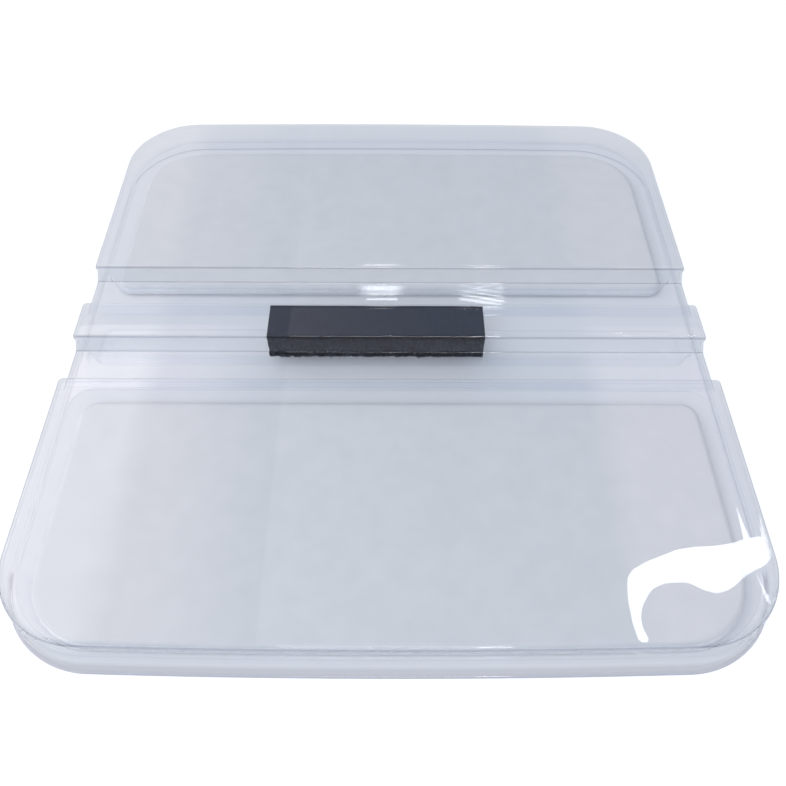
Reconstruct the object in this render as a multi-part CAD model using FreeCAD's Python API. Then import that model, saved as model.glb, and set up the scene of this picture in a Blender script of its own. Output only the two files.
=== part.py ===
import FreeCAD, Part
import math
import os

os.makedirs("parts", exist_ok=True)

# All sizes are in millimetres. X runs across the palette, Y from its front to its back, and Z up from
# the surface that it stands on. The origin is the middle of the underside.

# Lid: one clear formed sheet with a front bay, a back bay and a ridge between two valleys.
LID_TOP_WIDTH = 292.0
LID_TOP_DEPTH = 305.0
LID_HEIGHT = 21.5
LID_SHEET = 0.9
LID_CORNER_RADIUS = 34.5
LID_DRAFT = 8.5  # degrees that the outer walls lean out towards the floor
LID_FLOOR_GAP = 0.3  # the lid hangs on the tray's bridges, just clear of the surface
LIP_WIDTH = 0.8  # the trimmed edge stands out this far at the foot of the walls
LIP_HEIGHT = 1.0
RIDGE_HALF_DEPTH = 10.8
BAY_INNER_Y = 33.7
VALLEY_FLOOR_Z = 12.0
VALLEY_DRAFT = 4.0
TOP_ROUNDING = 2.0
CREASE_ROUNDING = 1.0

# Foam block stuck up into the ridge, a little left of the middle.
FOAM_LENGTH = 101.0
FOAM_CENTRE_X = -6.5
FOAM_THICKNESS = 12.7
FOAM_SIDE_GAP = 0.15
FILM_THICKNESS = 0.15
FILM_MARGIN = 0.5

# Tray: a flat rim plane with two wells and a brush channel formed down from it.
TRAY_SHEET = 0.8
LID_TO_TRAY = 0.3
RIM_SIDE_GAP = 0.45
RIM_WIDTH = 3.2
RIM_LIP_DROP = 2.4
WELL_DRAFT = 10.0
WELL_INNER_Y = 32.6
WELL_INNER_RADIUS = 10.0
CHANNEL_HALF_DEPTH = 12.6
CHANNEL_RADIUS = 6.0
WELL_FLOOR_ROUNDING = 1.6

# Soft contents of each well.
SPONGE_THICKNESS = 4.0
SPONGE_GAP = 0.1
SPONGE_MARGIN = 2.6
SHEET_THICKNESS = 0.2
SHEET_MARGIN = 2.0

CUT_PAST = 1.0  # a cut runs this far past the face that it opens
LEAST_RADIUS = 1.0

RIM_TOP_Z = VALLEY_FLOOR_Z - LID_SHEET - LID_TO_TRAY
SPONGE_BOTTOM_Z = TRAY_SHEET + SPONGE_GAP
SHEET_BOTTOM_Z = SPONGE_BOTTOM_Z + SPONGE_THICKNESS + SPONGE_GAP


def lean(degrees, height):
    """How far a wall that leans by degrees moves sideways over height."""
    return math.tan(math.radians(degrees)) * height


def outline(x_low, x_high, y_low, y_high, z, front_radius, back_radius):
    """A closed rectangle at height z, with one radius for its two front corners and one for its back."""
    corners = (
        (x_high, y_low, front_radius, -90.0),
        (x_high, y_high, back_radius, 0.0),
        (x_low, y_high, back_radius, 90.0),
        (x_low, y_low, front_radius, 180.0),
    )
    arcs = []
    for x, y, radius, start in corners:
        centre_x = x - radius if x == x_high else x + radius
        centre_y = y - radius if y == y_high else y + radius
        points = []
        for turn in (0.0, 45.0, 90.0):
            angle = math.radians(start + turn)
            point_x = centre_x + radius * math.cos(angle)
            point_y = centre_y + radius * math.sin(angle)
            points.append(FreeCAD.Vector(point_x, point_y, z))
        arcs.append(points)
    edges = []
    for index, points in enumerate(arcs):
        following = arcs[(index + 1) % len(arcs)]
        edges.append(Part.Arc(*points).toShape())
        edges.append(Part.LineSegment(points[2], following[0]).toShape())
    return Part.Wire(edges)


def centred_outline(half_x, half_y, radius, z):
    """A rectangle about the origin with four equal corners."""
    return outline(-half_x, half_x, -half_y, half_y, z, radius, radius)


def solid_between(lower, upper):
    """The solid with straight walls from one outline up to another."""
    return Part.makeLoft([lower, upper], True, True)


def rounded(solid, radius, chosen):
    """The solid with every chosen edge rounded."""
    return solid.makeFillet(radius, [edge for edge in solid.Edges if chosen(edge)])


def lies_at(edge, z):
    """True if the whole edge lies at height z."""
    box = edge.BoundBox
    return abs(box.ZMin - z) < 0.01 and abs(box.ZMax - z) < 0.01


def lid_half_size(z, inset):
    """Half the lid's width and depth at height z, pushed in from its outer face by inset."""
    out = lean(LID_DRAFT, LID_HEIGHT - z) - inset / math.cos(math.radians(LID_DRAFT))
    return LID_TOP_WIDTH / 2 + out, LID_TOP_DEPTH / 2 + out, LID_CORNER_RADIUS + out


def valley_cutter(side, inset):
    """What is cut away for the valley in front of the ridge, side -1, or behind it, side 1."""
    floor_z = VALLEY_FLOOR_Z - inset
    top_z = LID_HEIGHT + CUT_PAST
    ridge_y = RIDGE_HALF_DEPTH - inset
    bay_y = BAY_INNER_Y + inset
    spread = lean(VALLEY_DRAFT, LID_HEIGHT - floor_z)
    rise = lean(VALLEY_DRAFT, CUT_PAST)
    end_x = lid_half_size(floor_z, 0.0)[0] + CUT_PAST
    ring = [
        FreeCAD.Vector(-end_x, side * (ridge_y - rise), top_z),
        FreeCAD.Vector(-end_x, side * (ridge_y + spread), floor_z),
        FreeCAD.Vector(-end_x, side * (bay_y - spread), floor_z),
        FreeCAD.Vector(-end_x, side * (bay_y + rise), top_z),
    ]
    face = Part.Face(Part.makePolygon(ring + ring[:1]))
    cutter = face.extrude(FreeCAD.Vector(2 * end_x, 0, 0))
    radius = CREASE_ROUNDING + inset
    return rounded(cutter, radius, lambda edge: edge.Length > LID_TOP_WIDTH and lies_at(edge, floor_z))


def lid_form(inset, bottom_z):
    """The lid's outer form, pushed in by inset, as one filled solid."""
    top_z = LID_HEIGHT - inset
    lower = centred_outline(*lid_half_size(bottom_z, inset), bottom_z)
    upper = centred_outline(*lid_half_size(top_z, inset), top_z)
    form = solid_between(lower, upper)
    for side in (-1, 1):
        form = form.cut(valley_cutter(side, inset))
    return rounded(form, TOP_ROUNDING - inset, lambda edge: lies_at(edge, top_z))


def make_lid_shell():
    """The clear formed lid, with its trimmed edge standing out at the foot."""
    outer = lid_form(0.0, LID_FLOOR_GAP)
    half_x, half_y, radius = lid_half_size(LID_FLOOR_GAP, -LIP_WIDTH)
    lip_low = centred_outline(half_x, half_y, radius, LID_FLOOR_GAP)
    lip_high = centred_outline(half_x, half_y, radius, LID_FLOOR_GAP + LIP_HEIGHT)
    outer = outer.fuse(solid_between(lip_low, lip_high))
    inner = lid_form(LID_SHEET, LID_FLOOR_GAP - CUT_PAST)
    return outer.cut(inner)


def make_foam_film():
    """The double-sided film that sticks the foam to the underside of the ridge."""
    length = FOAM_LENGTH - 2 * FILM_MARGIN
    half_y = RIDGE_HALF_DEPTH - TOP_ROUNDING
    top_z = LID_HEIGHT - LID_SHEET
    corner = FreeCAD.Vector(FOAM_CENTRE_X - length / 2, -half_y, top_z - FILM_THICKNESS)
    return Part.makeBox(length, 2 * half_y, FILM_THICKNESS, corner)


def make_foam_block():
    """The black foam block, cut to fill the ridge and to press on brush handles in the channel."""
    half_y = RIDGE_HALF_DEPTH - LID_SHEET - FOAM_SIDE_GAP
    top_z = LID_HEIGHT - LID_SHEET - FILM_THICKNESS
    corner = FreeCAD.Vector(FOAM_CENTRE_X - FOAM_LENGTH / 2, -half_y, top_z - FOAM_THICKNESS)
    block = Part.makeBox(FOAM_LENGTH, 2 * half_y, FOAM_THICKNESS, corner)
    return rounded(block, TOP_ROUNDING - LID_SHEET, lambda edge: lies_at(edge, top_z))


def rim_half_size():
    """Half the width and depth of the tray's rim, inside the lid's walls, and its corner radius."""
    half_x, half_y, radius = lid_half_size(RIM_TOP_Z, LID_SHEET)
    return half_x - RIM_SIDE_GAP, half_y - RIM_SIDE_GAP, radius - RIM_SIDE_GAP


def well_outline(side, z, inset):
    """The inside outline of the front well, side -1, or the back well, side 1, at height z."""
    rim_x, rim_y, rim_radius = rim_half_size()
    inwards = lean(WELL_DRAFT, RIM_TOP_Z - z) + inset
    half_x = rim_x - RIM_WIDTH - inwards
    outer_y = rim_y - RIM_WIDTH - inwards
    inner_y = WELL_INNER_Y + inwards
    outer_radius = rim_radius - RIM_WIDTH - inwards
    inner_radius = max(WELL_INNER_RADIUS - inwards, LEAST_RADIUS)
    if side < 0:
        return outline(-half_x, half_x, -outer_y, -inner_y, z, outer_radius, inner_radius)
    return outline(-half_x, half_x, inner_y, outer_y, z, inner_radius, outer_radius)


def channel_outline(z, inset):
    """The inside outline of the brush channel at height z."""
    rim_x = rim_half_size()[0]
    inwards = lean(WELL_DRAFT, RIM_TOP_Z - z) + inset
    radius = max(CHANNEL_RADIUS - inwards, LEAST_RADIUS)
    return centred_outline(rim_x - RIM_WIDTH - inwards, CHANNEL_HALF_DEPTH - inwards, radius, z)


def recess(plan, inset, bottom_z, top_z):
    """A well or the channel as a filled solid, with its lower edge rounded."""
    form = solid_between(plan(bottom_z, inset), plan(top_z, inset))
    radius = WELL_FLOOR_ROUNDING - inset
    return rounded(form, radius, lambda edge: lies_at(edge, bottom_z))


def make_base_tray():
    """The clear formed tray: a rim with a turned-down lip, two wells and the brush channel."""
    half_x, half_y, radius = rim_half_size()
    lip_z = RIM_TOP_Z - TRAY_SHEET - RIM_LIP_DROP
    wide = lean(LID_DRAFT, RIM_TOP_Z - lip_z)
    lip_lower = centred_outline(half_x + wide, half_y + wide, radius + wide, lip_z)
    rim_upper = centred_outline(half_x, half_y, radius, RIM_TOP_Z)
    tray = solid_between(lip_lower, rim_upper)
    under_z = RIM_TOP_Z - TRAY_SHEET
    thin = TRAY_SHEET - lean(LID_DRAFT, TRAY_SHEET)
    under_low = centred_outline(
        half_x + wide - TRAY_SHEET, half_y + wide - TRAY_SHEET, radius + wide - TRAY_SHEET, lip_z
    )
    under_high = centred_outline(half_x - thin, half_y - thin, radius - thin, under_z)
    tray = tray.cut(solid_between(under_low, under_high))
    plans = (
        lambda z, inset: well_outline(-1, z, inset),
        lambda z, inset: well_outline(1, z, inset),
        channel_outline,
    )
    for plan in plans:
        tray = tray.fuse(recess(plan, -TRAY_SHEET, 0.0, RIM_TOP_Z))
    for plan in plans:
        tray = tray.cut(recess(plan, 0.0, TRAY_SHEET, RIM_TOP_Z + CUT_PAST))
    return tray.removeSplitter()


def make_sponge(side):
    """A flat pad of sponge that fills a well's floor."""
    plan = well_outline(side, TRAY_SHEET, SPONGE_MARGIN)
    pad = Part.Face(plan).extrude(FreeCAD.Vector(0, 0, SPONGE_THICKNESS))
    pad.translate(FreeCAD.Vector(0, 0, SPONGE_GAP))
    return pad


def make_palette_sheet(side):
    """The sheet of palette paper that lies on a sponge."""
    plan = well_outline(side, SHEET_BOTTOM_Z, SHEET_MARGIN)
    return Part.Face(plan).extrude(FreeCAD.Vector(0, 0, SHEET_THICKNESS))


pieces = {
    "lid_shell": make_lid_shell(),
    "foam_adhesive_film": make_foam_film(),
    "foam_block": make_foam_block(),
    "base_tray": make_base_tray(),
    "front_sponge": make_sponge(-1),
    "back_sponge": make_sponge(1),
    "front_palette_sheet": make_palette_sheet(-1),
    "back_palette_sheet": make_palette_sheet(1),
}

for node, shape in pieces.items():
    shape.exportStep("parts/" + node + ".step")
    box = shape.BoundBox
    size = (round(box.XLength, 2), round(box.YLength, 2), round(box.ZLength, 2))
    print(node, "valid", shape.isValid(), "solids", len(shape.Solids), "size", size, "volume", round(shape.Volume))
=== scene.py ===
import math
import random

import bmesh
import bpy
from mathutils import Matrix, Vector, kdtree, noise


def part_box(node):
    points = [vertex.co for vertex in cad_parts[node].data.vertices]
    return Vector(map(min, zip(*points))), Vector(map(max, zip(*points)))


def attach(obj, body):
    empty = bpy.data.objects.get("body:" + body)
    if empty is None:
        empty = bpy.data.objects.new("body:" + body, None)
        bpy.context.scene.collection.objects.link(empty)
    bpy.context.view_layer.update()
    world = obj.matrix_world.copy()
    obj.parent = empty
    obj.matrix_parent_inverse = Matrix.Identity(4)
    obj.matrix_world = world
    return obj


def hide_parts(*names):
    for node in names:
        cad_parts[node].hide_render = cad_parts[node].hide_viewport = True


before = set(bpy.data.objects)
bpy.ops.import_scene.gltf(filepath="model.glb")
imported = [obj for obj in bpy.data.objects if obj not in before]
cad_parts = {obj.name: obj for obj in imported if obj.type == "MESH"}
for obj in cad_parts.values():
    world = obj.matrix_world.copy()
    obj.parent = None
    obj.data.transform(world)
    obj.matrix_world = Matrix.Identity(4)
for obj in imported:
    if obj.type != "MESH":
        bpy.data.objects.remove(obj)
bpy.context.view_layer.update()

MM = 0.001  # shapes are written in millimetres, as in the frame's drawing, and scaled once
MERGE_DISTANCE = 1e-3
CUT_DISTANCE = 1e-4
RUN_IN = 5.0  # a section's first and last run, which only give the bend its direction

# The lid's sheet, from the frame's sizes and the same draft and radii.
LID_LOW, LID_HIGH = (Vector(corner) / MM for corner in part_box("lid_shell"))
LID_DRAFT = math.tan(math.radians(8.5))
LID_SHEET = 0.9
LIP_WIDTH = 0.8
LIP_TOP = LID_LOW.z + LID_SHEET
LID_TOP = LID_HIGH.z
TOP_HALF_X = LID_HIGH.x - LIP_WIDTH - LID_DRAFT * (LID_TOP - LID_LOW.z)
TOP_HALF_Y = LID_HIGH.y - LIP_WIDTH - LID_DRAFT * (LID_TOP - LID_LOW.z)
CORNER_RADIUS = 34.5
TOP_ROUNDING = 2.0
RIDGE_Y = 10.8
BAY_Y = 33.7
VALLEY_Z = 12.0
VALLEY_LEAN = math.tan(math.radians(4.0))
CREASE_ROUNDING = 1.0
WALL_END_ROUNDING = 4.0  # at a valley wall's mid height, and over what heights it grows and shrinks
WALL_END_START = 1.0
WALL_END_RISE = 2.0
WALL_END_FALL = 2.5
MIDDLE_Y = 40.0  # the ridge and valleys are swept between -MIDDLE_Y and MIDDLE_Y
LONGEST_STRETCH = 3.0
LID_CUT_STEP = 14.0  # the lid is cut across X this often, so that its edges can bow
FRONT_BOW = 2.6  # how far the front and back edges, bowed out at their middle, fall back at the sides
BACK_BOW = 2.0
FOOT_ROUNDING = 0.5
PAINTED_SHADE_MARK = "bend"
BEND_SHADE_SLOPE = 45.0  # painted shade: the slope at the middle of a bend's darker line, which stands in for the darkening that refraction and reflection give the sheet's bends, in degrees, and the line's half width
BEND_SHADE_SPREAD = 18.0
FOOT_SHADE_TOP = 9.5  # painted shade: the greyer band along the foot of the lid's front wall, which stands in for the contact shadow seen through the wall, and how it fades upward
FOOT_SHADE_FADE = 4.5
FOOT_SHADE_Y = -118.0  # the painted shade band reaches no further back
STEEPEST_MARKED = 89.0  # the slope beyond which a face is the sheet's lower one
FOOT_SHADE_MARK = 0.5
SHEET_IOR = 1.01  # a thin sheet hardly shifts what is seen through it; the coat carries its gloss

# The tray, likewise.
TRAY_LOW, TRAY_HIGH = (Vector(corner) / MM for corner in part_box("base_tray"))
TRAY_SHEET = 0.8
RIM_TOP = TRAY_HIGH.z
RIM_LIP_DEPTH = 2.4
RIM_LIP_BOTTOM = RIM_TOP - TRAY_SHEET - RIM_LIP_DEPTH
RIM_HALF_X = TRAY_HIGH.x - LID_DRAFT * (RIM_TOP - RIM_LIP_BOTTOM)
RIM_HALF_Y = TRAY_HIGH.y - LID_DRAFT * (RIM_TOP - RIM_LIP_BOTTOM)
RIM_RADIUS = 34.7
RIM_WIDTH = 3.2
WELL_DRAFT = math.tan(math.radians(10.0))
WELL_INNER_Y = 32.6
WELL_INNER_RADIUS = 10.0
CHANNEL_HALF_Y = 12.6
CHANNEL_RADIUS = 6.0
WELL_TOP_ROUNDING = 1.0
WELL_FLOOR_ROUNDING = 1.7
RIM_ROUNDING = 1.2
TRAY_CUT_STEP = 20.0

FOAM_STEP = 0.36
SMALLEST_PORE_SHARE = 0.3
LARGEST_PORE = 0.75
PORES_PER_SQUARE_MM = 1.6
FACE_DEPTH = 0.1  # a point no deeper than this lies on a face of the block
CRUMBLE_HEIGHT = 1.2  # the lower edge crumbles up to here
COARSE_CRUMBS = 1.1
FINE_CRUMBS = 2.7
CRUMBLE_FALL = 1.1
CRUMBLE_LIFT = 0.3
CRUMBLE_PUSH = 0.45
FOAM_SWELL = 1.4  # how far the foam's free foot swells forward, and how fast
SWELL_RATE = 0.11
SWELL_START = VALLEY_Z + 1.5
BACK_EDGE_WAVE = 0.35
FOAM_WAVE_X = -19.0  # where the foam's back edge shifts, and over what length
FOAM_WAVE_LENGTH = 9.0
FILM_CORNER_RADIUS = 0.6
FILM_GAP = 0.03

PAD_CUT_STEP = 4.0
SPONGE_MARGIN = 0.5
SPONGE_TOP_ROUNDING = 3.0
SPONGE_FOOT_ROUNDING = 0.3
SPONGE_SAG = 0.12  # the top's mean sag, the height of its waves and their pace along X and Y
SPONGE_SAG_DEPTH = 0.3  # what lies no deeper than this sags
SPONGE_WAVE = 0.1
SPONGE_WAVE_X = 0.11
SPONGE_WAVE_Y = 0.17
SHEET_MARGIN = 2.0
SHEET_DROOP = 0.9  # how far a sheet's edge hangs over its sponge's soft one, over DROOP_WIDTH
DROOP_WIDTH = 2.4
SHEET_THICKNESS = 0.12
SHEET_GAP = 0.02

# The stage
BLACK = (0.0, 0.0, 0.0)
WHITE = (1.0, 1.0, 1.0)
FLOOR_HALF_SIZE = 4.0
FLOOR_GAP = 0.0003
FLOOR_COLOUR = (0.68, 0.69, 0.72)
FLOOR_GLOW = {"Is Camera Ray": 0.46, "Is Transmission Ray": 0.13, "Is Glossy Ray": 0.0}
ROOM_COLOUR = (0.85, 0.93, 1.04)
BRIGHT_COLOUR = (2.7, 2.6, 2.5)
BRIGHT_SIDE = (-0.75, 0.25, 0.62)
BRIGHT_START = 0.55
ROOM_STRENGTH = 0.52
KEY_POWER = 11.7
KEY_COLOUR = (1.0, 0.98, 0.96)
KEY_SIZE = (1.2, 0.9)
KEY_PLACE = (-0.5, -1.2, 1.35)
LEFT_WALL = (-2.4, -0.4)  # what each side's glows span in X
RIGHT_WALL = (0.70, 2.2)
LEFT_GLOW = (3.2, 2.85, 2.7)
LEFT_HAZE = (1.8, 1.5, 1.5)
BACK_GLOW = (1.5, 1.35, 1.35)
BACK_HAZE = (0.85, 0.8, 0.85)
RIGHT_GLOW = (1.5, 1.25, 1.3)
GLOW_END = 0.71  # where the glows change, as shares of a wall's span
HAZE_START = 0.78
RIGHT_GLOW_START = 0.1
EVEN = ((0.0, WHITE), (1.0, WHITE))  # a lamp's colours along X
SOFT_ENDS = ((0.0, BLACK), (0.35, WHITE), (0.65, WHITE), (1.0, BLACK))
LAMP_HEIGHT = 2.0
PICTURE_PIXELS = 786
FOCAL_PIXELS = 742
CAMERA_PLACE = (-0.0001, -0.2294, 0.2839)
CAMERA_TURNS = (54.47, 0.43, 0.51)  # down, to the right and rolled, in degrees


# Mesh helpers

def left_of(heading):
    """The unit normal on the left of a heading, in radians."""
    return Vector((-math.sin(heading), math.cos(heading)))


def rounded_path(corners, radii, steps=8):
    """(point, left-hand normal) pairs along straight runs, with arcs at the inner corners."""
    points = [Vector(corner) for corner in corners]
    headings = []
    for before, after in zip(points, points[1:]):
        headings.append(math.atan2(after.y - before.y, after.x - before.x))
    path = [(points[0], left_of(headings[0]))]
    for corner, before, after, radius in zip(points[1:], headings, headings[1:], radii):
        turn = (after - before + math.pi) % (2 * math.pi) - math.pi
        side = 1 if turn < 0 else -1
        along = Vector((math.cos(before), math.sin(before)))
        centre = corner - along * radius * math.tan(abs(turn) / 2) - left_of(before) * radius * side
        for step in range(steps + 1):
            normal = left_of(before + turn * step / steps)
            path.append((centre + normal * radius * side, normal))
    path.append((points[-1], left_of(headings[-1])))
    return path


def subdivided(path, longest):
    """The path with its straight runs split into stretches no longer than longest."""
    result = [path[0]]
    for (before, _), (after, normal) in zip(path, path[1:]):
        count = max(math.ceil((after - before).length / longest), 1)
        for index in range(1, count + 1):
            result.append((before.lerp(after, index / count), normal))
    return result


def inset_corners(corners, depth):
    """The corners of a path's other face, depth to the right of it."""
    points = [Vector(corner) for corner in corners]
    normals = []
    for before, after in zip(points, points[1:]):
        normals.append(left_of(math.atan2(after.y - before.y, after.x - before.x)))
    inset = [points[0] - normals[0] * depth]
    for point, before, after in zip(points[1:], normals, normals[1:]):
        inset.append(point - (before + after) * depth / (1 + before.dot(after)))
    inset.append(points[-1] - normals[-1] * depth)
    return inset


def two_faces(corners, radii, inner_radii, thickness, steps=8):
    """The outer and the inner face of a formed sheet's section, as paths that match point for point."""
    inner_corners = inset_corners(corners, thickness)
    return rounded_path(corners, radii, steps), rounded_path(inner_corners, inner_radii, steps)


def add_grid(bm, rows, closed=False):
    """Quads between rows of points; in a closed grid each row's end joins its start."""
    made = [[bm.verts.new(point) for point in row] for row in rows]
    for lower, upper in zip(made, made[1:]):
        count = len(lower)
        for index in range(count if closed else count - 1):
            following = (index + 1) % count
            bm.faces.new((lower[index], lower[following], upper[following], upper[index]))
    return made


def arc_points(centre, radius, start, end, steps):
    """Points on a circle in plan, from one angle in degrees to another."""
    points = []
    for step in range(steps + 1):
        angle = math.radians(start + (end - start) * step / steps)
        points.append((centre[0] + radius * math.cos(angle), centre[1] + radius * math.sin(angle)))
    return points


def plan_outline(half_x, low_y, high_y, front_radius, back_radius, steps=14):
    """A closed plan outline with one radius for its two front corners and one for its two back ones."""
    front_x = half_x - front_radius
    back_x = half_x - back_radius
    front_y = low_y + front_radius
    back_y = high_y - back_radius
    points = arc_points((front_x, front_y), front_radius, -90, 0, steps)
    points += arc_points((back_x, back_y), back_radius, 0, 90, steps)
    points += arc_points((-back_x, back_y), back_radius, 90, 180, steps)
    points += arc_points((-front_x, front_y), front_radius, 180, 270, steps)
    return points


def at_height(points, z):
    return [(x, y, z) for x, y in points]


def cut_at(bm, axis, places):
    """Cuts the whole mesh with planes across one axis."""
    for place in places:
        normal = Vector((0, 0, 0))
        normal[axis] = 1.0
        geometry = list(bm.verts) + list(bm.edges) + list(bm.faces)
        bmesh.ops.bisect_plane(bm, geom=geometry, plane_co=normal * place, plane_no=normal, dist=CUT_DISTANCE)


def spaced(low, high, step):
    """Even places between low and high, without the ends, about step apart."""
    count = max(round((high - low) / step), 1)
    return [low + (high - low) * index / count for index in range(1, count)]


def bow_ends(bm):
    """Bows the front and back edges, which the forming left a little round in plan."""
    for vert in bm.verts:
        bow = FRONT_BOW if vert.co.y < 0 else -BACK_BOW
        reach = max(abs(vert.co.y) - MIDDLE_Y, 0.0) / (TOP_HALF_Y - MIDDLE_Y)
        vert.co.y += bow * reach * (vert.co.x / TOP_HALF_X) ** 2


def object_from(bm, name, material):
    """The object made from bm as it is, in metres."""
    mesh = bpy.data.meshes.new(name)
    bm.to_mesh(mesh)
    bm.free()
    mesh.materials.append(material)
    made = bpy.data.objects.new(name, mesh)
    bpy.context.scene.collection.objects.link(made)
    return made


def finished(bm, name, material, sharp_angle=40.0):
    """The object made from bm, scaled to metres, smooth but for its sharp edges."""
    bmesh.ops.remove_doubles(bm, verts=bm.verts, dist=MERGE_DISTANCE)
    bmesh.ops.recalc_face_normals(bm, faces=bm.faces)
    limit = math.radians(sharp_angle)
    for edge in bm.edges:
        edge.smooth = len(edge.link_faces) != 2 or edge.calc_face_angle(0.0) < limit
    for face in bm.faces:
        face.smooth = True
    bmesh.ops.scale(bm, vec=(MM, MM, MM), verts=bm.verts)
    return object_from(bm, name, material)


def mark_painted_shade(piece):
    """Stores painted shade for each point of the upper face: how near it is to a bend's middle, for the
    sheet's darker lines there, and how low it lies in the greyer band along the front wall's foot.
    """
    marks = piece.data.attributes.new(PAINTED_SHADE_MARK, "FLOAT", "POINT")
    for vert in piece.data.vertices:
        slope = math.degrees(math.acos(max(min(vert.normal.z, 1.0), -1.0)))
        mark = max(1.0 - abs(slope - BEND_SHADE_SLOPE) / BEND_SHADE_SPREAD, 0.0)
        # painted shade: a greyer band low on the front wall, for the contact shadow seen through it
        if slope < STEEPEST_MARKED and vert.co.y < FOOT_SHADE_Y * MM:
            rise = (FOOT_SHADE_TOP - vert.co.z / MM) / FOOT_SHADE_FADE
            mark = max(mark, min(max(rise, 0.0), 1.0) * FOOT_SHADE_MARK)
        marks.data[vert.index].value = mark


def shade_flats_flat(piece):
    """Lets the large flat faces set the normals that they share with narrow rounded edges."""
    weighted = piece.modifiers.new("flat_faces_rule", "WEIGHTED_NORMAL")
    weighted.mode = "FACE_AREA"
    weighted.weight = 50
    weighted.keep_sharp = True


# Lid

WALL_NORMAL = Vector((1.0, 0.0, LID_DRAFT)).normalized()  # of the right-hand wall
ARC_STEPS = 8


def wall_faces():
    """The outer wall's two faces, outset from the flat top's size against z, down to the trimmed edge."""
    foot = LID_DRAFT * (LID_TOP - LIP_TOP)
    corners = [(-RUN_IN, LID_TOP), (0.0, LID_TOP), (foot, LIP_TOP), (foot + LIP_WIDTH, LIP_TOP)]
    radii = (TOP_ROUNDING, FOOT_ROUNDING)
    inner_radii = (TOP_ROUNDING, FOOT_ROUNDING + LID_SHEET)
    return [face[1:] for face in two_faces(corners, radii, inner_radii, LID_SHEET, ARC_STEPS)]


def cap_outline(outset, side):
    """The open plan outline of the front (side -1) or back (side 1) bay's outer edge."""
    centre_x = TOP_HALF_X - CORNER_RADIUS
    centre_y = TOP_HALF_Y - CORNER_RADIUS
    radius = CORNER_RADIUS + outset
    points = [(TOP_HALF_X + outset, MIDDLE_Y)]
    points += arc_points((centre_x, centre_y), radius, 0, 90, 30)
    points += arc_points((-centre_x, centre_y), radius, 90, 180, 30)
    points.append((-TOP_HALF_X - outset, MIDDLE_Y))
    return [(x, side * y) for x, y in points]


def middle_faces():
    """The two faces of the ridge and its valleys, in Y and Z."""
    spread = VALLEY_LEAN * (LID_TOP - VALLEY_Z)
    half = [
        (RIDGE_Y, LID_TOP),
        (RIDGE_Y + spread, VALLEY_Z),
        (BAY_Y - spread, VALLEY_Z),
        (BAY_Y, LID_TOP),
        (MIDDLE_Y, LID_TOP),
    ]
    corners = [(-y, z) for y, z in reversed(half)] + half
    radii = [TOP_ROUNDING, CREASE_ROUNDING, CREASE_ROUNDING, TOP_ROUNDING] * 2
    faces = two_faces(corners, radii, radii, LID_SHEET, ARC_STEPS)
    return [subdivided(face, LONGEST_STRETCH) for face in faces]


def end_rounding(z):
    """The radius between a valley's wall and the lid's side: soft at mid height, tight at top and floor."""
    above = min(max((z - VALLEY_Z - WALL_END_START) / WALL_END_RISE, 0.0), 1.0)
    below = min(max((LID_TOP - TOP_ROUNDING - z) / WALL_END_FALL, 0.0), 1.0)
    share = min(above, below)
    return TOP_ROUNDING + (WALL_END_ROUNDING - TOP_ROUNDING) * share * share * (3 - 2 * share)


def rounded_end(point, normal, depth):
    """The right-hand end of one swept row, rolled over into the side wall, on the face depth below."""
    radius = end_rounding(point.y + depth)
    facing = Vector((0.0, normal.x, normal.y))
    centre = Vector((0.0, point.x, point.y)) - facing * radius
    centre.x = TOP_HALF_X + LID_DRAFT * (LID_TOP - centre.z) - (radius + depth) / WALL_NORMAL.x
    return [centre + facing.slerp(WALL_NORMAL, step / ARC_STEPS) * radius for step in range(ARC_STEPS + 1)]


def mirrored(point):
    return Vector((-point[0], point[1], point[2]))


def add_middle(bm, path, depth, foot_start):
    """One face of the ridge and valleys with their side walls."""
    ends = [rounded_end(point, normal, depth) for point, normal in path]
    rows = [[mirrored(point) for point in reversed(end)] + end for end in ends]
    grid = add_grid(bm, rows)
    for index, hand in ((0, -1), (-1, 1)):
        foot = [(hand * (TOP_HALF_X + foot_start.x), y, foot_start.y) for y in (MIDDLE_Y, -MIDDLE_Y)]
        bm.faces.new([row[index] for row in grid] + [bm.verts.new(point) for point in foot])


def make_lid_shell(material):
    """The formed lid: two bays, the ridge, the valleys and the drafted wall with its trimmed edge."""
    bm = bmesh.new()
    outer, inner = ([point for point, _ in face] for face in wall_faces())
    for side in (-1, 1):
        grid = add_grid(bm, [at_height(cap_outline(point.x, side), point.y) for point in outer + inner[::-1]])
        bm.faces.new(grid[0])
        bm.faces.new(grid[-1])
    foot = outer[ARC_STEPS + 1:] + inner[:ARC_STEPS:-1]
    for hand in (-1, 1):
        rows = []
        for point in foot:
            rows.append([(hand * (TOP_HALF_X + point.x), y, point.y) for y in (-MIDDLE_Y, MIDDLE_Y)])
        add_grid(bm, rows)
    outer_path, inner_path = middle_faces()
    add_middle(bm, outer_path, 0.0, foot[0])
    add_middle(bm, inner_path, LID_SHEET, foot[-1])
    bmesh.ops.remove_doubles(bm, verts=bm.verts, dist=MERGE_DISTANCE)
    cut_at(bm, 0, spaced(-TOP_HALF_X, TOP_HALF_X, LID_CUT_STEP))
    cut_at(bm, 2, (FOOT_SHADE_TOP - FOOT_SHADE_FADE, FOOT_SHADE_TOP))
    bow_ends(bm)
    lid = finished(bm, "lid_shell_formed", material)
    mark_painted_shade(lid)
    shade_flats_flat(lid)
    return lid


# Tray

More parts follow.
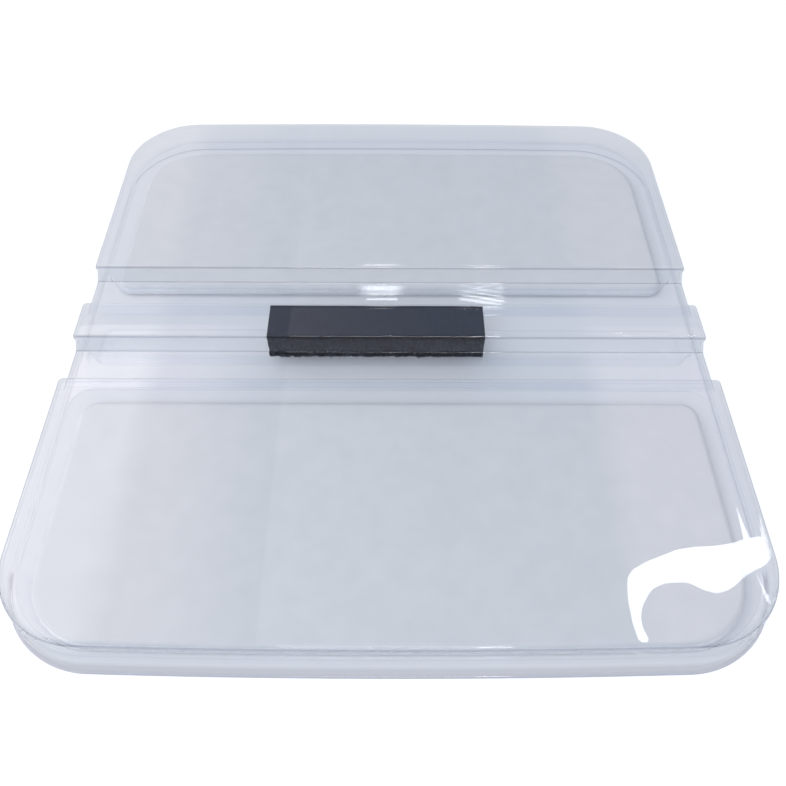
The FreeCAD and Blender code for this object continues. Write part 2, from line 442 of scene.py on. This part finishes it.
def well_outline(side, inset):
    """A well's plan outline, pushed in by inset from its edge at the rim."""
    half_x = RIM_HALF_X - RIM_WIDTH - inset
    outer_y = RIM_HALF_Y - RIM_WIDTH - inset
    inner_y = WELL_INNER_Y + inset
    outer_radius = RIM_RADIUS - RIM_WIDTH - inset
    inner_radius = max(WELL_INNER_RADIUS - inset, 1.0)
    if side < 0:
        return plan_outline(half_x, -outer_y, -inner_y, outer_radius, inner_radius)
    return plan_outline(half_x, inner_y, outer_y, inner_radius, outer_radius)


def front_well(inset):
    return well_outline(-1, inset)


def back_well(inset):
    return well_outline(1, inset)


def brush_channel(inset):
    radius = CHANNEL_RADIUS - inset
    half_y = CHANNEL_HALF_Y - inset
    return plan_outline(RIM_HALF_X - RIM_WIDTH - inset, -half_y, half_y, radius, radius)


def tray_edge(outset):
    radius = RIM_RADIUS + outset
    half_y = RIM_HALF_Y + outset
    return plan_outline(RIM_HALF_X + outset, -half_y, half_y, radius, radius, 26)


def ring_edges(bm, ring):
    return [bm.edges.get((vert, ring[(index + 1) % len(ring)])) for index, vert in enumerate(ring)]


def make_tray(material):
    """The formed tray: the rim with its turned-down lip, two wells and the brush channel."""
    bm = bmesh.new()
    foot = WELL_DRAFT * (RIM_TOP - TRAY_SHEET)
    corners = [(-RUN_IN, RIM_TOP), (0.0, RIM_TOP), (foot, TRAY_SHEET), (foot + RUN_IN, TRAY_SHEET)]
    radii = (WELL_TOP_ROUNDING, WELL_FLOOR_ROUNDING)
    walls = [[point for point, _ in face[1:-1]] for face in two_faces(corners, radii, radii, TRAY_SHEET, 5)]
    lip = LID_DRAFT * (RIM_TOP - RIM_LIP_BOTTOM)
    corners = [(-RUN_IN, RIM_TOP), (0.0, RIM_TOP), (lip, RIM_LIP_BOTTOM)]
    radii = (RIM_ROUNDING,)
    faces = two_faces(corners, radii, radii, TRAY_SHEET, 5)
    outer, inner = ([point for point, _ in face[1:]] for face in faces)
    rows = [at_height(tray_edge(point.x), point.y) for point in outer + inner[::-1]]
    edge_grid = add_grid(bm, rows, closed=True)
    for wall, edge_ring in zip(walls, (edge_grid[0], edge_grid[-1])):
        edges = ring_edges(bm, edge_ring)
        for plan in (front_well, back_well, brush_channel):
            grid = add_grid(bm, [at_height(plan(point.x), point.y) for point in wall], closed=True)
            bm.faces.new(grid[-1])
            edges += ring_edges(bm, grid[0])
        bmesh.ops.triangle_fill(bm, use_beauty=True, edges=edges)
    bmesh.ops.remove_doubles(bm, verts=bm.verts, dist=MERGE_DISTANCE)
    cut_at(bm, 0, spaced(-RIM_HALF_X, RIM_HALF_X, TRAY_CUT_STEP))
    bow_ends(bm)
    tray = finished(bm, "base_tray_formed", material)
    mark_painted_shade(tray)
    shade_flats_flat(tray)
    return tray


# Foam block

def foam_front(z):
    """How far the foam's front face swells forward, free of the ridge's wall below its foot."""
    drop = max(SWELL_START - z, 0.0)
    return -min(SWELL_RATE * drop * drop, FOAM_SWELL)


def make_foam_block(material):
    """The foam block, cut porous at its sides and ragged along its lower edge."""
    low, high = (Vector(corner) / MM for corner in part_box("foam_block"))
    size = high - low
    counts = [round(length / FOAM_STEP) for length in size]
    bm = bmesh.new()
    for axis in range(3):
        first, second = [other for other in range(3) if other != axis]
        for end in (0, counts[axis]):
            rows = []
            for i in range(counts[first] + 1):
                row = []
                for j in range(counts[second] + 1):
                    place = low.copy()
                    place[axis] += size[axis] * end / counts[axis]
                    place[first] += size[first] * i / counts[first]
                    place[second] += size[second] * j / counts[second]
                    row.append(place)
                rows.append(row)
            add_grid(bm, rows)
    bmesh.ops.remove_doubles(bm, verts=bm.verts, dist=MERGE_DISTANCE)
    bmesh.ops.recalc_face_normals(bm, faces=bm.faces)
    bm.normal_update()
    draw = random.Random(5)
    pores = foam_pores(draw, low, high)
    tree = kdtree.KDTree(len(pores))
    for index, (place, _) in enumerate(pores):
        tree.insert(place, index)
    tree.balance()
    for vert in list(bm.verts):
        normal = vert.normal.copy()
        place = vert.co.copy()
        if place.z > high.z - FACE_DEPTH:
            continue
        depth = 0.0
        for _, index, distance in tree.find_range(place, LARGEST_PORE):
            depth = max(depth, pores[index][1] - distance)
        vert.co -= normal * depth
        above = place.z - low.z
        if above < CRUMBLE_HEIGHT:
            crumb = 0.5 * noise.noise(place * COARSE_CRUMBS) + noise.noise(place * FINE_CRUMBS)
            vert.co.z += (CRUMBLE_HEIGHT - above) * (crumb * CRUMBLE_FALL - CRUMBLE_LIFT)
            sideways = Vector((normal.x, normal.y, 0.0))
            vert.co += sideways * (CRUMBLE_HEIGHT - above) * crumb * CRUMBLE_PUSH
        if place.y < low.y + FACE_DEPTH:
            vert.co.y += foam_front(place.z)
        if place.y > high.y - FACE_DEPTH:
            shift = math.tanh((FOAM_WAVE_X - place.x) / FOAM_WAVE_LENGTH)
            vert.co.y += BACK_EDGE_WAVE * (shift - 1.0)
    return finished(bm, "foam_block_cut", material, 180.0)


def foam_pores(draw, low, high):
    """The pores that the cut opened in the side and lower faces, as centres and radii."""
    size = high - low
    areas = (2 * size.y * size.z, 2 * size.x * size.z, size.x * size.y)
    pores = []
    for axis, area in enumerate(areas):
        for _ in range(int(area * PORES_PER_SQUARE_MM)):
            place = Vector([draw.uniform(low[other], high[other]) for other in range(3)])
            place[axis] = low.z if axis == 2 else draw.choice((low[axis], high[axis]))
            pores.append((place, draw.uniform(SMALLEST_PORE_SHARE, 1.0) ** 2 * LARGEST_PORE))
    return pores


def make_film(material):
    """The smooth adhesive film between the foam and the ridge."""
    low, high = (Vector(corner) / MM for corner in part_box("foam_adhesive_film"))
    bm = bmesh.new()
    middle_x = (low.x + high.x) / 2
    half_x = (high.x - low.x) / 2
    outline = plan_outline(half_x, low.y, high.y, FILM_CORNER_RADIUS, FILM_CORNER_RADIUS, 3)
    outline = [(middle_x + x, y) for x, y in outline]
    rows = [at_height(outline, z) for z in (low.z, high.z - FILM_GAP)]
    grid = add_grid(bm, rows, closed=True)
    bm.faces.new(grid[0])
    bm.faces.new(grid[-1])
    return finished(bm, "foam_adhesive_film_smooth", material)


# Sponges and sheets

def make_sponge(side, name, material):
    """A damp pad of fine sponge that lies in a well, with soft edges."""
    low, high = (Vector(corner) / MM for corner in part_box(name))
    bm = bmesh.new()
    edge = WELL_DRAFT * (RIM_TOP - TRAY_SHEET) + SPONGE_MARGIN
    corners = [(edge + RUN_IN, high.z), (edge, high.z), (edge, low.z), (edge + RUN_IN, low.z)]
    walls = rounded_path(corners, [SPONGE_TOP_ROUNDING, SPONGE_FOOT_ROUNDING])[1:-1]
    grid = add_grid(bm, [at_height(well_outline(side, point.x), point.y) for point, _ in walls], closed=True)
    bm.faces.new(grid[0])
    bm.faces.new(grid[-1])
    cut_at(bm, 0, spaced(low.x, high.x, PAD_CUT_STEP))
    cut_at(bm, 1, spaced(low.y, high.y, PAD_CUT_STEP))
    for vert in bm.verts:
        if vert.co.z > high.z - SPONGE_SAG_DEPTH:
            wave = math.sin(vert.co.x * SPONGE_WAVE_X) * math.sin(vert.co.y * SPONGE_WAVE_Y + side)
            vert.co.z -= SPONGE_SAG + SPONGE_WAVE * wave
    bow_ends(bm)
    return finished(bm, name + "_pad", material)


def make_palette_sheet(side, name, material):
    """A sheet of parchment that clings to its damp sponge and droops over the sponge's soft edge."""
    low, high = (Vector(corner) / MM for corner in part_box(name))
    bm = bmesh.new()
    inset = WELL_DRAFT * (RIM_TOP - low.z) + SHEET_MARGIN
    steps = 6
    section = []
    for step in range(steps + 1):
        across = step / steps
        section.append((inset + DROOP_WIDTH * (1 - across), SHEET_DROOP * across * across))
    top = high.z - SHEET_GAP
    rows = [at_height(well_outline(side, place), top - drop) for place, drop in section]
    underside = top - SHEET_THICKNESS
    rows += [at_height(well_outline(side, place), underside - drop) for place, drop in reversed(section)]
    grid = add_grid(bm, rows, closed=True)
    bm.faces.new(grid[0])
    bm.faces.new(grid[-1])
    cut_at(bm, 0, spaced(low.x, high.x, PAD_CUT_STEP))
    cut_at(bm, 1, spaced(low.y, high.y, PAD_CUT_STEP))
    bow_ends(bm)
    return finished(bm, name + "_laid", material)


# Materials

def new_material(name):
    """A material with nodes, and its tree, Principled node and output."""
    material = bpy.data.materials.new(name)
    material.use_nodes = True
    nodes = material.node_tree.nodes
    return material, material.node_tree, nodes["Principled BSDF"], nodes["Material Output"]


def noise_node(tree, scale, detail, stretch=(1, 1, 1)):
    """A noise texture on the object's own coordinates, stretched along its axes."""
    place = tree.nodes.new("ShaderNodeTexCoord")
    mapping = tree.nodes.new("ShaderNodeMapping")
    mapping.inputs["Scale"].default_value = stretch
    grain = tree.nodes.new("ShaderNodeTexNoise")
    grain.inputs["Scale"].default_value = scale
    grain.inputs["Detail"].default_value = detail
    tree.links.new(place.outputs["Object"], mapping.inputs["Vector"])
    tree.links.new(mapping.outputs["Vector"], grain.inputs["Vector"])
    return grain


def ramp_node(tree, source, stops):
    """A colour ramp over source with stops as (position, colour)."""
    ramp = tree.nodes.new("ShaderNodeValToRGB")
    elements = ramp.color_ramp.elements
    while len(elements) < len(stops):
        elements.new(1.0)
    for element, (position, colour) in zip(elements, stops):
        element.position = position
        element.color = (*colour, 1.0)
    tree.links.new(source, ramp.inputs["Fac"])
    return ramp


def bump_node(tree, source, strength, distance):
    bump = tree.nodes.new("ShaderNodeBump")
    bump.inputs["Strength"].default_value = strength
    bump.inputs["Distance"].default_value = distance
    tree.links.new(source, bump.inputs["Height"])
    return bump


def clear_plastic(name, tint, painted_foot_shade, painted_bend_shade, shade, gloss):
    """A clear formed sheet with painted shade, darker lines at its bends and a greyer band along its front
    foot, that lets soft light through to what is under it.
    """
    material, tree, surface, output = new_material(name)
    # painted shade: the ramp darkens the sheet's colour at its bends and along its front foot
    marks = tree.nodes.new("ShaderNodeAttribute")
    marks.attribute_name = PAINTED_SHADE_MARK
    ramp = ramp_node(tree, marks.outputs["Fac"], [(0.0, tint), (FOOT_SHADE_MARK, painted_foot_shade), (1.0, painted_bend_shade)])
    tree.links.new(ramp.outputs["Color"], surface.inputs["Base Color"])
    surface.inputs["IOR"].default_value = SHEET_IOR
    surface.inputs["Transmission Weight"].default_value = 1.0
    surface.inputs["Roughness"].default_value = 0.02
    surface.inputs["Coat Weight"].default_value = gloss
    surface.inputs["Coat IOR"].default_value = 1.5
    surface.inputs["Coat Roughness"].default_value = 0.015
    lines = noise_node(tree, 900, 2, (0.006, 1, 1))
    bump = bump_node(tree, lines.outputs["Fac"], 0.02, 0.00003)
    tree.links.new(bump.outputs["Normal"], surface.inputs["Normal"])
    tree.links.new(bump.outputs["Normal"], surface.inputs["Coat Normal"])
    through = tree.nodes.new("ShaderNodeBsdfTransparent")
    through.inputs["Color"].default_value = (*shade, 1.0)
    path = tree.nodes.new("ShaderNodeLightPath")
    either = tree.nodes.new("ShaderNodeMath")
    either.operation = "MAXIMUM"
    tree.links.new(path.outputs["Is Shadow Ray"], either.inputs[0])
    tree.links.new(path.outputs["Is Diffuse Ray"], either.inputs[1])
    mix = tree.nodes.new("ShaderNodeMixShader")
    tree.links.new(either.outputs[0], mix.inputs["Fac"])
    tree.links.new(surface.outputs["BSDF"], mix.inputs[1])
    tree.links.new(through.outputs["BSDF"], mix.inputs[2])
    tree.links.new(mix.outputs["Shader"], output.inputs["Surface"])
    return material


def grained_material(name, scale, detail, stops):
    """A material whose colour follows a fine grain, with its tree, Principled node and grain."""
    material, tree, surface, _ = new_material(name)
    grain = noise_node(tree, scale, detail)
    ramp = ramp_node(tree, grain.outputs["Fac"], stops)
    tree.links.new(ramp.outputs["Color"], surface.inputs["Base Color"])
    return material, tree, surface, grain


def foam_material():
    """Black foam, with paler specks where its cut cells catch the light."""
    stops = [(0.48, (0.001, 0.001, 0.004)), (0.60, (0.008, 0.010, 0.022)), (0.75, (0.10, 0.12, 0.18))]
    material, tree, surface, grain = grained_material("black_foam", 1300, 2, stops)
    bump = bump_node(tree, grain.outputs["Fac"], 0.8, 0.0006)
    tree.links.new(bump.outputs["Normal"], surface.inputs["Normal"])
    surface.inputs["Roughness"].default_value = 0.85
    return material


def film_material():
    """The smooth dark film on the foam."""
    stops = [(0.3, (0.012, 0.017, 0.036)), (0.7, (0.016, 0.021, 0.042))]
    material, _, surface, _ = grained_material("adhesive_film", 260, 3, stops)
    surface.inputs["Roughness"].default_value = 0.5
    surface.inputs["Specular IOR Level"].default_value = 0.15
    return material


def sponge_material():
    """Pale sponge with fine, slightly darker pores."""
    stops = [(0.30, (0.80, 0.79, 0.80)), (0.42, (0.88, 0.87, 0.88)), (0.65, (0.94, 0.93, 0.94))]
    material, tree, surface, grain = grained_material("pale_sponge", 800, 4, stops)
    bump = bump_node(tree, grain.outputs["Fac"], 0.7, 0.0006)
    tree.links.new(bump.outputs["Normal"], surface.inputs["Normal"])
    surface.inputs["Roughness"].default_value = 0.9
    return material


def paper_material():
    """Parchment with a fine tooth, cockled a little where the damp has reached it."""
    stops = [(0.3, (0.68, 0.695, 0.72)), (0.7, (0.72, 0.73, 0.755))]
    material, tree, surface, _ = grained_material("palette_paper", 120, 5, stops)
    fibres = noise_node(tree, 700, 4, (0.35, 1, 1))
    tooth = bump_node(tree, fibres.outputs["Fac"], 0.35, 0.0002)
    cockle = noise_node(tree, 22, 1)
    waves = bump_node(tree, cockle.outputs["Fac"], 0.25, 0.004)
    tree.links.new(waves.outputs["Normal"], tooth.inputs["Normal"])
    tree.links.new(tooth.outputs["Normal"], surface.inputs["Normal"])
    surface.inputs["Roughness"].default_value = 0.55
    surface.inputs["Specular IOR Level"].default_value = 0.35
    return material


# Stage

def emission_node(tree, colour, strength):
    glow = tree.nodes.new("ShaderNodeEmission")
    glow.inputs["Color"].default_value = (*colour, 1.0)
    glow.inputs["Strength"].default_value = strength
    return glow


def make_floor():
    """A plain pale floor, white to the camera but for the object's soft shadow."""
    bm = bmesh.new()
    bmesh.ops.create_grid(bm, x_segments=1, y_segments=1, size=FLOOR_HALF_SIZE)
    material, tree, surface, output = new_material("floor_white")
    surface.inputs["Base Color"].default_value = (*FLOOR_COLOUR, 1.0)
    surface.inputs["Roughness"].default_value = 0.9
    surface.inputs["Specular IOR Level"].default_value = 0.0
    path = tree.nodes.new("ShaderNodeLightPath")
    total = surface.outputs["BSDF"]
    for ray, strength in FLOOR_GLOW.items():
        pick = tree.nodes.new("ShaderNodeMixShader")
        none = emission_node(tree, BLACK, 0.0)
        glow = emission_node(tree, WHITE, strength)
        both = tree.nodes.new("ShaderNodeAddShader")
        tree.links.new(path.outputs[ray], pick.inputs["Fac"])
        tree.links.new(none.outputs["Emission"], pick.inputs[1])
        tree.links.new(glow.outputs["Emission"], pick.inputs[2])
        tree.links.new(total, both.inputs[0])
        tree.links.new(pick.outputs["Shader"], both.inputs[1])
        total = both.outputs["Shader"]
    tree.links.new(total, output.inputs["Surface"])
    floor = object_from(bm, "floor", material)
    floor.location.z = -FLOOR_GAP


def make_world():
    """A pale room, with a soft bright side on the left and behind, and white where the camera sees it."""
    world = bpy.data.worlds.new("soft_room")
    bpy.context.scene.world = world
    world.use_nodes = True
    tree = world.node_tree
    background = tree.nodes["Background"]
    place = tree.nodes.new("ShaderNodeTexCoord")
    toward = tree.nodes.new("ShaderNodeVectorMath")
    toward.operation = "DOT_PRODUCT"
    toward.inputs[1].default_value = Vector(BRIGHT_SIDE).normalized()
    tree.links.new(place.outputs["Generated"], toward.inputs[0])
    ramp = ramp_node(tree, toward.outputs["Value"], [(BRIGHT_START, ROOM_COLOUR), (1.0, BRIGHT_COLOUR)])
    ramp.color_ramp.interpolation = "EASE"
    tree.links.new(ramp.outputs["Color"], background.inputs["Color"])
    background.inputs["Strength"].default_value = ROOM_STRENGTH
    backdrop = tree.nodes.new("ShaderNodeBackground")
    backdrop.inputs["Color"].default_value = (*WHITE, 1.0)
    path = tree.nodes.new("ShaderNodeLightPath")
    mix = tree.nodes.new("ShaderNodeMixShader")
    tree.links.new(path.outputs["Is Camera Ray"], mix.inputs["Fac"])
    tree.links.new(background.outputs["Background"], mix.inputs[1])
    tree.links.new(backdrop.outputs["Background"], mix.inputs[2])
    tree.links.new(mix.outputs["Shader"], tree.nodes["World Output"].inputs["Surface"])


def make_key_light():
    """A large soft lamp above and in front, which no gloss shows."""
    lamp = bpy.data.lights.new("key_light", "AREA")
    lamp.shape = "RECTANGLE"
    lamp.size, lamp.size_y = KEY_SIZE
    lamp.energy = KEY_POWER
    lamp.color = KEY_COLOUR
    light = bpy.data.objects.new("key_light", lamp)
    bpy.context.scene.collection.objects.link(light)
    light.location = KEY_PLACE
    light.rotation_euler = (-light.location).to_track_quat("-Z", "Y").to_euler()
    light.visible_glossy = False
    light.visible_transmission = False


def make_gloss_light(name, outlines, strength, fade=EVEN):
    """A bright shape that only gloss and clear plastic show, as a room's windows do, coloured along X."""
    bm = bmesh.new()
    for outline in outlines:
        bm.faces.new([bm.verts.new(point) for point in outline])
    material, tree, surface, output = new_material(name + "_glow")
    tree.nodes.remove(surface)
    glow = emission_node(tree, WHITE, strength)
    place = tree.nodes.new("ShaderNodeTexCoord")
    split = tree.nodes.new("ShaderNodeSeparateXYZ")
    tree.links.new(place.outputs["Generated"], split.inputs["Vector"])
    ramp = ramp_node(tree, split.outputs["X"], fade)
    ramp.color_ramp.interpolation = "EASE"
    tree.links.new(ramp.outputs["Color"], glow.inputs["Color"])
    tree.links.new(glow.outputs["Emission"], output.inputs["Surface"])
    panel = object_from(bm, name, material)
    panel.visible_camera = False
    panel.visible_diffuse = False
    panel.visible_shadow = False


def panel_toward(azimuth, elevation, distance, width, height):
    """The corners of a rectangle that faces the object from an azimuth (from +Y to +X) and elevation."""
    angle = math.radians(azimuth)
    rise = math.radians(elevation)
    away = Vector((math.sin(angle) * math.cos(rise), math.cos(angle) * math.cos(rise), math.sin(rise)))
    across = Vector((math.cos(angle), -math.sin(angle), 0.0)) * width / 2
    upward = across.cross(away).normalized() * height / 2
    lower = away * distance - upward
    higher = away * distance + upward
    return [lower - across, lower + across, higher + across, higher - across]


def ceiling_panel(x_low, x_high, y_low, y_high):
    """A level rectangle's corners."""
    plan = [(x_low, y_low), (x_high, y_low), (x_high, y_high), (x_low, y_high)]
    return [Vector((x, y, LAMP_HEIGHT)) for x, y in plan]


def overhead_strip(x_low, x_high):
    """A long lamp's corners, above and behind the camera, which only the lid's rounded edges reflect."""
    return ceiling_panel(x_low, x_high, -1.0, -0.4)


def make_back_lights():
    """The two lamps whose short streaks lie on the valleys and along the rounded edges."""
    left = []
    sizes = ((0.10, 0.004), (0.15, 0.009), (0.18, 0.013), (0.15, 0.009), (0.10, 0.004))
    for step, (width, height) in enumerate(sizes, start=-2):
        left.append(panel_toward(-1.1, 46.1 + 0.45 * step, LAMP_HEIGHT, width, height))
    right = []
    for step, width in enumerate((0.13, 0.16, 0.18, 0.16, 0.14), start=-2):
        right.append(panel_toward(11.8, 45.9 + 0.35 * step, LAMP_HEIGHT, width, 0.003))
    make_gloss_light("back_light_left", left, 9.0, SOFT_ENDS)
    make_gloss_light("back_light_right", right, 22.0, SOFT_ENDS)
    make_gloss_light("overhead_light_left", [overhead_strip(-0.045, 0.005)], 45.0)
    make_gloss_light("overhead_light_right", [overhead_strip(0.27, 0.37)], 30.0)
    make_gloss_light("overhead_light_wide", [overhead_strip(-0.34, 0.34)], 6.0)


def make_side_glows():
    """The paler walls at both sides of the room, whose soft reflections lie on the bays' outer parts."""
    room = tuple(channel * ROOM_STRENGTH for channel in ROOM_COLOUR)
    rows = (
        ("front", 0.3, 1.7, LEFT_GLOW, LEFT_HAZE, RIGHT_GLOW),
        ("back", 1.7, 3.4, BACK_GLOW, BACK_HAZE, BACK_HAZE),
    )
    for side in ("left", "right"):
        for word, y_low, y_high, glow, haze, right_glow in rows:
            if side == "left":
                x_low, x_high = LEFT_WALL
                fade = [(0.0, glow), (GLOW_END, glow), (HAZE_START, haze), (1.0, room)]
            else:
                x_low, x_high = RIGHT_WALL
                fade = [(0.0, room), (RIGHT_GLOW_START, right_glow), (1.0, right_glow)]
            panel = ceiling_panel(x_low, x_high, y_low, y_high)
            make_gloss_light(side + "_" + word + "_glow", [panel], 1.0, fade)


def softened(outline, rounds):
    """A closed outline with its corners cut, a quarter in from each end of every side."""
    for _ in range(rounds):
        cut = []
        for before, after in zip(outline, outline[1:] + outline[:1]):
            cut.append((before * 3 + after) / 4)
            cut.append((before + after * 3) / 4)
        outline = cut
    return outline


def make_window_light():
    """The roof window whose wavy reflection lies on the lid's front right corner."""
    corner = Vector((0.51, 0.24, 1.3))
    edge = [
        (0.0, 0.0), (0.0, 0.14), (0.04, 0.17), (0.09, 0.19), (0.14, 0.21), (0.23, 0.215), (0.29, 0.23),
        (0.33, 0.24), (0.35, 0.21), (0.32, 0.17), (0.27, 0.15), (0.22, 0.11), (0.18, 0.105), (0.14, 0.13),
        (0.10, 0.13), (0.06, 0.12), (0.035, 0.09), (0.02, 0.06), (0.018, 0.03), (0.03, 0.0),
    ]
    glints = [
        [(0.29, 0.31), (0.285, 0.22), (0.30, 0.22)],
        [(0.345, 0.30), (0.33, 0.22), (0.347, 0.22)],
        [(0.29, 0.15), (0.297, 0.08), (0.305, 0.08)],
        [(0.325, 0.10), (0.265, 0.035), (0.27, 0.03)],
    ]
    window = softened([corner + Vector((x, y, 0)) for x, y in edge], 2)
    slivers = [[corner + Vector((x, y, 0)) for x, y in glint] for glint in glints]
    make_gloss_light("window_light", [window] + slivers, 11.0)


def make_camera():
    """The photograph's viewpoint, fitted to the lid's straight edges."""
    camera = bpy.data.cameras.new("camera")
    camera.sensor_width = 36.0
    camera.lens = camera.sensor_width * FOCAL_PIXELS / PICTURE_PIXELS
    camera.clip_start = 0.01
    camera.clip_end = 20.0
    view = bpy.data.objects.new("camera", camera)
    bpy.context.scene.collection.objects.link(view)
    place = Vector(CAMERA_PLACE)
    pitch, yaw, roll = (math.radians(angle) for angle in CAMERA_TURNS)
    forward = Vector((math.sin(yaw) * math.cos(pitch), math.cos(yaw) * math.cos(pitch), -math.sin(pitch)))
    level = Vector((math.cos(yaw), -math.sin(yaw), 0.0))
    above = level.cross(forward)
    right = level * math.cos(roll) + above * math.sin(roll)
    up = above * math.cos(roll) - level * math.sin(roll)
    view.matrix_world = Matrix(
        (
            (right.x, up.x, -forward.x, place.x),
            (right.y, up.y, -forward.y, place.y),
            (right.z, up.z, -forward.z, place.z),
            (0, 0, 0, 1),
        )
    )
    bpy.context.scene.camera = view


bpy.context.scene.view_settings.view_transform = "Standard"
bpy.context.scene.cycles.max_bounces = 32  # a ray crosses many clear sheets, one inside the other
bpy.context.scene.cycles.transmission_bounces = 32
bpy.context.scene.cycles.transparent_max_bounces = 32
make_camera()
make_world()
make_floor()
make_key_light()
make_window_light()
make_back_lights()
make_side_glows()
make_gloss_light("side_light", [panel_toward(-72.0, 28.0, 1.5, 0.25, 0.35)], 6.0, SOFT_ENDS)

# the bend and foot tints of both sheets are painted shade
lid_plastic = clear_plastic(
    "clear_lid_plastic",
    tint=(0.945, 0.96, 0.98),
    painted_foot_shade=(0.64, 0.63, 0.67),
    painted_bend_shade=(0.30, 0.31, 0.46),
    shade=(0.95, 0.96, 0.975),
    gloss=0.65,
)
tray_plastic = clear_plastic(
    "clear_tray_plastic",
    tint=(0.975, 0.98, 0.99),
    painted_foot_shade=(0.90, 0.91, 0.94),
    painted_bend_shade=(0.80, 0.82, 0.88),
    shade=(0.97, 0.98, 0.99),
    gloss=0.4,
)

lid_shell = make_lid_shell(lid_plastic)
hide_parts("lid_shell")
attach(lid_shell, "lid")

film = make_film(film_material())
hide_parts("foam_adhesive_film")
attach(film, "lid")

foam = make_foam_block(foam_material())
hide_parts("foam_block")
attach(foam, "lid")

tray = make_tray(tray_plastic)
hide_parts("base_tray")
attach(tray, "tray")

sponge_finish = sponge_material()
paper_finish = paper_material()
for word, side in (("front", -1), ("back", 1)):
    sponge = make_sponge(side, word + "_sponge", sponge_finish)
    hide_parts(word + "_sponge")
    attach(sponge, word + "_pad")
    paper = make_palette_sheet(side, word + "_palette_sheet", paper_finish)
    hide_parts(word + "_palette_sheet")
    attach(paper, word + "_paper")
